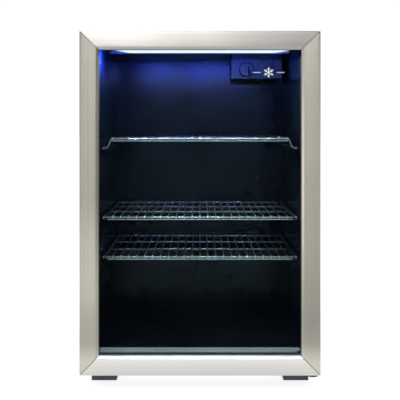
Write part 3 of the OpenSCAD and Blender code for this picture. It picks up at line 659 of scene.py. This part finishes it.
def gasketSeal():
    # folded magnetic gasket: foot, bellows and a rounded sealing face
    lo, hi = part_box("door_gasket")
    deep = hi.y - lo.y
    # across and back, each from 0 to 1
    section = [
        (0, 0), (0, 0.2), (0.08, 0.3), (0.22, 0.36), (0.1, 0.44), (0.04, 0.56), (0.16, 0.66), (0.04, 0.74),
        (0.0, 0.86), (0.04, 0.96), (0.14, 1.0), (0.5, 1.0), (0.86, 1.0), (0.96, 0.96), (1.0, 0.86),
        (0.96, 0.74), (0.84, 0.66), (0.96, 0.56), (0.9, 0.44), (0.78, 0.36), (0.92, 0.3), (1.0, 0.2),
        (1.0, 0),
    ]
    loops = []
    for across, back in section:
        inset = across * gasket["width"]
        radius = max(gasket["cornerRadius"] - inset * 0.45, gasket["tightest"])
        ring = roundedLoop(lo, hi, inset, radius, gasket["cornerSteps"])
        loops.append([(x, lo.y + back * deep, z) for x, z in ring])
    count = len(loops[0])
    verts = [v for loop in loops for v in loop]
    faces = []
    for k in range(len(loops)):
        n = (k + 1) % len(loops)
        for i in range(count):
            j = (i + 1) % count
            faces.append((k * count + i, k * count + j, n * count + j, n * count + i))
    mesh = meshFrom("doorSeal", verts, faces)
    outwards(mesh)
    smooth(mesh, 50)
    piece = linkObject("doorSeal", mesh)
    setMaterial(piece, gasketRubber)
    place(piece, "door", "door_gasket")


gasketSeal()
print("door filled")


# wire shelves

def wireRowTree():
    # wires of one gauge: paths are rounded at their bends, given thickness and repeated sideways
    tree = bpy.data.node_groups.new("wireRow", "GeometryNodeTree")
    face = tree.interface
    face.new_socket(name="Geometry", in_out="INPUT", socket_type="NodeSocketGeometry")
    for label, kind, value in (
        ("Gauge", "NodeSocketFloat", 2.5 * mm),
        ("Bend Radius", "NodeSocketFloat", 4.0 * mm),
        ("Count", "NodeSocketInt", 1),
        ("Pitch", "NodeSocketFloat", 15.5 * mm),
        ("Material", "NodeSocketMaterial", None),
    ):
        socket = face.new_socket(name=label, in_out="INPUT", socket_type=kind)
        if value is not None:
            socket.default_value = value
    face.new_socket(name="Geometry", in_out="OUTPUT", socket_type="NodeSocketGeometry")
    new, link = tree.nodes.new, tree.links.new
    given, result = new("NodeGroupInput"), new("NodeGroupOutput")
    path = new("GeometryNodeMeshToCurve")
    link(given.outputs["Geometry"], path.inputs[0])
    fillet = new("GeometryNodeFilletCurve")
    if "Mode" in fillet.inputs:
        fillet.inputs["Mode"].default_value = "Poly"
    else:
        fillet.mode = "POLY"
    fillet.inputs["Count"].default_value = 6
    fillet.inputs["Limit Radius"].default_value = True
    link(path.outputs[0], fillet.inputs["Curve"])
    link(given.outputs["Bend Radius"], fillet.inputs["Radius"])
    ring = new("GeometryNodeCurvePrimitiveCircle")
    ring.inputs["Resolution"].default_value = 14
    radius = new("ShaderNodeMath")
    radius.operation = "MULTIPLY"
    radius.inputs[1].default_value = 0.5
    link(given.outputs["Gauge"], radius.inputs[0])
    link(radius.outputs[0], ring.inputs["Radius"])
    tube = new("GeometryNodeCurveToMesh")
    tube.inputs["Fill Caps"].default_value = True
    link(fillet.outputs[0], tube.inputs["Curve"])
    link(ring.outputs[0], tube.inputs["Profile Curve"])
    gaps = new("ShaderNodeMath")
    gaps.operation = "SUBTRACT"
    gaps.inputs[1].default_value = 1.0
    link(given.outputs["Count"], gaps.inputs[0])
    span = new("ShaderNodeMath")
    span.operation = "MULTIPLY"
    link(gaps.outputs[0], span.inputs[0])
    link(given.outputs["Pitch"], span.inputs[1])
    start = new("ShaderNodeMath")
    start.operation = "MULTIPLY"
    start.inputs[1].default_value = -0.5
    link(span.outputs[0], start.inputs[0])
    first, step = new("ShaderNodeCombineXYZ"), new("ShaderNodeCombineXYZ")
    link(start.outputs[0], first.inputs["X"])
    link(given.outputs["Pitch"], step.inputs["X"])
    line = new("GeometryNodeMeshLine")
    link(given.outputs["Count"], line.inputs["Count"])
    link(first.outputs[0], line.inputs["Start Location"])
    link(step.outputs[0], line.inputs["Offset"])
    spread = new("GeometryNodeInstanceOnPoints")
    link(line.outputs[0], spread.inputs["Points"])
    link(tube.outputs[0], spread.inputs["Instance"])
    solid = new("GeometryNodeRealizeInstances")
    link(spread.outputs[0], solid.inputs[0])
    shade = new("GeometryNodeSetShadeSmooth")
    link(solid.outputs[0], shade.inputs["Geometry"])
    paint = new("GeometryNodeSetMaterial")
    link(shade.outputs[0], paint.inputs["Geometry"])
    link(given.outputs["Material"], paint.inputs["Material"])
    link(paint.outputs[0], result.inputs["Geometry"])
    return tree


wireTree = wireRowTree()


def wires(name, paths, gauge, bend, material, count=1, pitch=15.5 * mm):
    mesh = bpy.data.meshes.new(name)
    verts, edges = [], []
    for path in paths:
        first = len(verts)
        verts += [tuple(p) for p in path]
        edges += [(first + i, first + i + 1) for i in range(len(path) - 1)]
    mesh.from_pydata(verts, edges, [])
    obj = linkObject(name, mesh)
    rows = obj.modifiers.new("wireRow", "NODES")
    rows.node_group = wireTree
    given = {"Gauge": gauge, "Bend Radius": bend, "Count": count, "Pitch": pitch, "Material": material}
    for item in wireTree.interface.items_tree:
        if item.in_out == "INPUT" and item.name in given:
            rows[item.identifier] = given[item.name]
    return applied(obj)


rack = {
    "deckGauge": 2.0 * mm,
    "crossGauge": 3.0 * mm,
    "frontGauge": 1.9 * mm,
    "frontDrop": 4.2 * mm,
    "railGauge": 5.0 * mm,
    "deckCount": 23,
    "deckPitch": 15.4 * mm,
    "toothRise": 1.1 * mm,
    "crossAt": (105 * mm, 210 * mm),
    "crossAxis": 4.1 * mm,
    "frontInset": 2.8 * mm,
    "rearInset": 3.0 * mm,
    "railGap": 0.1 * mm,
    "weld": 0.2 * mm,
    "hookWeld": 0.3 * mm,
    "hookRun": 7.0 * mm,
    "hookBelow": 0.6 * mm,
    "hookBend": 2.2 * mm,
    "bend": 4.0 * mm,
    "wingDrop": 16 * mm,
    "wingStart": 172 * mm,
    "wingRun": 8 * mm,
    "crown": 1.5 * mm,
    "raisedShort": 2.0 * mm,
    "lowerReach": 180 * mm,
}


def wireShelf(name, node, body, raised, metal):
    # front wires carry the deck's hooked tips; a raised shelf stands on wings bent down to the ledges
    lo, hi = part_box(node)
    z = hi.z - rack["crossAxis"] + (rack["crown"] if raised else 0)
    low = hi.z - rack["crossAxis"] - rack["wingDrop"]
    front = lo.y + rack["frontInset"] + rack["crossGauge"] / 2
    back = hi.y
    rear = back - rack["rearInset"]
    rail = hi.x - rack["railGauge"] / 2 - rack["railGap"]
    half = rack["wingStart"] if raised else rail
    frontZ = z + (rack["crossGauge"] - rack["frontGauge"]) / 2
    wireZ = z + rack["crossGauge"] / 2 + rack["deckGauge"] / 2 - rack["weld"]
    tip = front - rack["frontGauge"] / 2 - rack["deckGauge"] / 2 + rack["hookWeld"]
    deckPath = [
        (0, tip, frontZ - rack["frontDrop"] - rack["hookBelow"]),
        (0, tip, wireZ + rack["toothRise"]),
        (0, front + rack["hookRun"], wireZ),
        (0, back, wireZ),
    ]
    count, pitch = rack["deckCount"], rack["deckPitch"]
    deck = wires(name + "Deck", [deckPath], rack["deckGauge"], rack["hookBend"], metal, count, pitch)
    cross = [[(-half, front + a, z), (half, front + a, z)] for a in rack["crossAt"]]
    if raised:
        wing = [(rail, low), (half + rack["wingRun"], low), (half, z)]
        bent = [(-x, rear, h) for x, h in wing] + [(x, rear, h) for x, h in wing[::-1]]
        cross.append(bent)
        cross += [[(s * half, front, z), (s * half, rear, z)] for s in (-1, 1)]
        lead = [(x, front, h + frontZ - z) for x, _, h in bent]
        rim = [[(s * rail, front, low), (s * rail, rear, low)] for s in (-1, 1)]
        reach = half - rack["raisedShort"]
    else:
        cross.append([(-half, rear, z), (half, rear, z)])
        lead = [(-half, front, frontZ), (half, front, frontZ)]
        rim = [[(s * rail, front, z), (s * rail, rear, z)] for s in (-1, 1)]
        reach = rack["lowerReach"]
    under = frontZ - rack["frontDrop"]
    leads = [lead, [(-reach, front, under), (reach, front, under)]]
    parts = [
        deck,
        wires(name + "Front", leads, rack["frontGauge"], rack["bend"], metal),
        wires(name + "Cross", cross, rack["crossGauge"], rack["bend"], metal),
        wires(name + "Rim", rim, rack["railGauge"], rack["bend"], metal),
    ]
    piece = joined(name, parts, metal)
    place(piece, body, node)


wireShelf("topRack", "shelf_top", "top_shelf", True, wireUpper)
wireShelf("middleRack", "shelf_middle", "middle_shelf", False, wireMetal)
wireShelf("lowerRack", "shelf_lower", "lower_shelf", False, wireMetal)
print("wire shelves bent")


# cabinet and inside

linerTub = softened("inner_liner", "linerTub", "cabinet", linerPlastic, 2.2 * mm)
softened("sill_trim", "sillStrip", "cabinet", sillPaintedLight, 0.8 * mm, 2)
softened("cabinet_shell", "cabinetWrap", "cabinet", shellPaint, 0.45 * mm, 2)
softened("front_foot_left", "frontFootLeft", "cabinet", footPlastic, 1.2 * mm)
softened("front_foot_right", "frontFootRight", "cabinet", footPlastic, 1.2 * mm)
softened("rear_feet", "rearFeet", "cabinet", footPlastic, 1.2 * mm)
softened("hinge_cover", "hingeCap", "cabinet", framePlastic, 1.4 * mm)
softened("thermostat_housing", "controlBox", "cabinet", controlPlastic, 1.2 * mm)
softened("drain_trough", "meltGutter", "cabinet", linerPlastic, 0.6 * mm, 2)
softened("light_housing", "lightTray", "cabinet", controlPlastic, 0.5 * mm, 2)
softened("relay_cover", "relayBox", "cabinet", controlPlastic, 1.2 * mm)
softened("drip_tray", "dripTray", "cabinet", trayPlastic, 0.6 * mm, 2)
softened("wall_spacers", "wallSpacers", "cabinet", controlPlastic, 1.0 * mm)
softened("light_rocker", "lightRocker", "light_switch", controlPlastic, 0.5 * mm, 2)
softened("thermostat_knob", "coldDial", "thermostat_dial", controlPlastic, 0.5 * mm, 2)

lightStrip = {
    "leftDark": -168 * mm,
    "leftLit": -154 * mm,
    "rightLit": 163 * mm,
    "rightDark": 177 * mm,
    "frontLit": -184.5 * mm,
    "frontDim": -182.5 * mm,
    "slant": 5.0,
    "leftGlow": 0.02,
    "rightGlow": 0.06,
    "deepGlow": 0.25,
    "darkBlue": (0.0, 0.006, 0.14),
    "coldWhite": (0.9, 0.95, 1.0),
    "strength": 1.6,
}
lensLook = litLens("frostedLens", lightStrip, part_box("light_lens")[1].z)
softened("light_lens", "lightLens", "cabinet", lensLook, 0.4 * mm, 2)

# CAD nodes whose own shape is right take a finish
finishes = {
    "upper_bush": bushNylon, "lower_bush": bushNylon,
    "back_panel": zincPlate, "base_pan": zincPlate, "bay_panel": zincPlate, "front_rail": shellPaint,
    "foam_insulation": foamCream, "evaporator_plate": plateMetal,
    "drain_tube": trayPlastic, "led_board": boardWhite,
    "thermostat_body": zincBright, "thermostat_spindle": zincBright, "switch_body": controlPlastic,
    "upper_hinge_plate": zincBright, "upper_hinge_pin": zincBright,
    "lower_hinge_plate": enamelBlack, "lower_hinge_pin": zincBright,
    "hinge_screws": zincBright, "rear_screws": zincBright, "mount_bolts": zincBright,
    "compressor_shell": enamelBlack, "compressor_base": enamelBlack, "compressor_mounts": mountRubber,
    "condenser_tube": enamelBlack, "condenser_wires": enamelBlack, "condenser_brackets": controlPlastic,
    "filter_drier": copperMetal, "suction_line": copperMetal, "discharge_line": copperMetal,
    "cord_gland": controlPlastic,
}
for node, material in finishes.items():
    setMaterial(cadNodes[node], material)
print("cabinet finished")


# printed mark on the glass

mark = {
    "x": 127 * mm,
    "z": 585 * mm,
    "radius": 9.5 * mm,
    "stroke": 1.1 * mm,
    "thickness": 0.12 * mm,
    "layer": 0.0004 * mm,
    "barFrom": 15 * mm,
    "barTo": 29 * mm,
    "barStroke": 0.45,
    "twigs": ((0.48, 0.3), (0.74, 0.22)),
    "twigTurn": 55,
    "twigStroke": 0.36,
}


def flatBar(verts, faces, a, b, half, y0, y1):
    # each bar is a hair thicker than the one before, so that no two faces share a plane
    y0 -= len(verts) * mark["layer"]
    direction = (b - a).normalized()
    side = Vector((-direction.y, direction.x)) * half
    first = len(verts)
    for y in (y0, y1):
        for corner in (a - side, b - side, b + side, a + side):
            verts.append((corner.x, y, corner.y))
    faces += [tuple(first + i for i in face) for face in (
        (0, 1, 2, 3), (7, 6, 5, 4), (0, 4, 5, 1), (1, 5, 6, 2), (2, 6, 7, 3), (3, 7, 4, 0))]


def frostMark():
    # plain six-armed frost star in white ink
    y1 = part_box("outer_glass")[0].y
    y0 = y1 - mark["thickness"]
    centre = Vector((mark["x"], mark["z"]))
    verts, faces = [], []
    for k in range(6):
        angle = math.radians(60 * k + 30)
        arm = Vector((math.cos(angle), math.sin(angle)))
        flatBar(verts, faces, centre, centre + arm * mark["radius"], mark["stroke"] / 2, y0, y1)
        for share, reach in mark["twigs"]:
            knot = centre + arm * mark["radius"] * share
            for way in (-1, 1):
                aim = angle + math.radians(way * mark["twigTurn"])
                twig = knot + Vector((math.cos(aim), math.sin(aim))) * mark["radius"] * reach
                flatBar(verts, faces, knot, twig, mark["stroke"] * mark["twigStroke"], y0, y1)
    for way in (-1, 1):
        start = centre + Vector((way * mark["barFrom"], 0))
        end = centre + Vector((way * mark["barTo"], 0))
        flatBar(verts, faces, start, end, mark["stroke"] * mark["barStroke"], y0, y1)
    mesh = meshFrom("frostMark", verts, faces)
    outwards(mesh)
    piece = linkObject("frostMark", mesh)
    setMaterial(piece, boardWhite)
    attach(piece, "door")


frostMark()
print("mark printed")


# camera, light, floor

view = {
    "distance": 1.567,
    "height": 0.4933,
    "lens": 76.5,
    "sensor": 36.0,
    "shift": -0.195,
}
camera = bpy.data.cameras.new("camera")
camera.lens = view["lens"]
camera.sensor_width = view["sensor"]
camera.shift_y = view["shift"]
cameraObject = bpy.data.objects.new("camera", camera)
cameraObject.location = (0.0, cadBounds[0][1] - view["distance"], view["height"])
cameraObject.rotation_euler = (math.radians(90), 0, 0)
bpy.context.scene.collection.objects.link(cameraObject)
bpy.context.scene.camera = cameraObject


def softbox(name, spot, target, size, power, colour=(1, 1, 1), only=None):
    # lights everything, or only the named pieces
    lamp = bpy.data.lights.new(name, "AREA")
    lamp.shape = "RECTANGLE"
    lamp.size, lamp.size_y = size
    lamp.energy = power
    lamp.color = colour
    obj = bpy.data.objects.new(name, lamp)
    obj.location = spot
    obj.rotation_euler = (Vector(target) - Vector(spot)).to_track_quat("-Z", "Y").to_euler()
    obj.visible_camera = False
    obj.visible_transmission = False
    bpy.context.scene.collection.objects.link(obj)
    if only:
        lit = bpy.data.collections.new(name + "Lit")
        for piece in only:
            lit.objects.link(piece)
        obj.light_linking.receiver_collection = lit


# places and sizes of the lamps are in metres
middle = (0, 0, 0.33)
uprights = [rails["left"], rails["right"]]
softboxes = [
    {"name": "keyBox", "spot": (-1.1, -1.3, 2.6), "target": middle, "size": (1.4, 1.4), "power": 22},
    {"name": "topBox", "spot": (0.2, 0.1, 2.4), "target": middle, "size": (1.8, 1.8), "power": 18},
    {
        "name": "railBox", "spot": (-0.38, -1.9, 0.98), "target": (-0.1, -0.25, 0.64),
        "size": (0.9, 0.5), "power": 6, "only": [rails["top"]],
    },
    {
        "name": "footRailBox", "spot": (0, -1.75, 1.4), "target": (0, -0.25, 0.05),
        "size": (1.3, 0.3), "power": 9, "only": [rails["bottom"]],
    },
    {
        "name": "uprightBox", "spot": (0, -1.9, 1.05), "target": (0, -0.25, 0.6),
        "size": (1.1, 0.5), "power": 13, "only": uprights,
    },
    {
        "name": "leftBox", "spot": (-0.5, -1.9, 0.25), "target": (-0.2, -0.25, 0.3),
        "size": (0.5, 0.5), "power": 2.2, "only": [rails["left"]],
    },
    {
        "name": "bevelBox", "spot": (-1.4, -1.5, 0.4), "target": (0.19, -0.25, 0.35),
        "size": (0.6, 1.2), "power": 7, "only": [rails["right"]],
    },
]
deepBlue = (0.02, 0.06, 1.0)
paleBlue = (0.72, 0.82, 1.0)
# under the ceiling: a blue wash on the back wall, a blue end at the left, and pale light on what is below
for x in (-0.115, 0, 0.105):
    softboxes.append({
        "name": "ledGlow", "spot": (x, -0.15, 0.622), "target": (x * 1.6, -0.02, 0.64),
        "size": (0.1, 0.012), "power": 0.55, "colour": deepBlue,
    })
softboxes += [
    {
        "name": "ledEnd", "spot": (-0.164, -0.11, 0.616), "target": (-0.192, -0.165, 0.585),
        "size": (0.012, 0.05), "power": 0.7, "colour": deepBlue, "only": [linerTub],
    },
    {
        "name": "ledFloor", "spot": (0, -0.172, 0.622), "target": (0, -0.12, 0),
        "size": (0.32, 0.016), "power": 2.0, "colour": paleBlue,
    },
]
for box in softboxes:
    softbox(**box)

studio = bpy.data.worlds.new("studio")
bpy.context.scene.world = studio
studio.use_nodes = True
sky = studio.node_tree
coords = sky.nodes.new("ShaderNodeTexCoord")
split = sky.nodes.new("ShaderNodeSeparateXYZ")
sky.links.new(coords.outputs["Generated"], split.inputs[0])
# the sky is brighter behind the object and overhead
behind = rangeNode(sky, split.outputs["Y"], -0.2, 0.3, 0.6, 1.1)
above = rangeNode(sky, split.outputs["Z"], 0.25, 0.9, 0.0, 0.3)
sky.links.new(mathNode(sky, "ADD", behind, above), sky.nodes["Background"].inputs["Strength"])
sky.nodes["Background"].inputs["Color"].default_value = (1, 0.995, 0.985, 1)

far = 30
corners = [(-far, -far, 0), (far, -far, 0), (far, far, 0), (-far, far, 0)]
floorMesh = meshFrom("floor", corners, [(0, 1, 2, 3)])
floorPiece = linkObject("floor", floorMesh)
floorLook = Shader("paleFloor")
floorLook.set(Roughness=0.9, Specular_IOR_Level=0.1, Emission_Color=(1, 1, 1, 1), Emission_Strength=0.85)
floorTone = floorLook.group(grainGroup, Scale=20.0)["Patches"]
floorLook.link(floorLook.blend(floorTone, (0.36, 0.36, 0.356), (0.39, 0.39, 0.386)), "Base Color")
floorPiece.data.materials.append(floorLook.material)
bpy.context.scene.view_settings.view_transform = "Standard"
print("studio set")
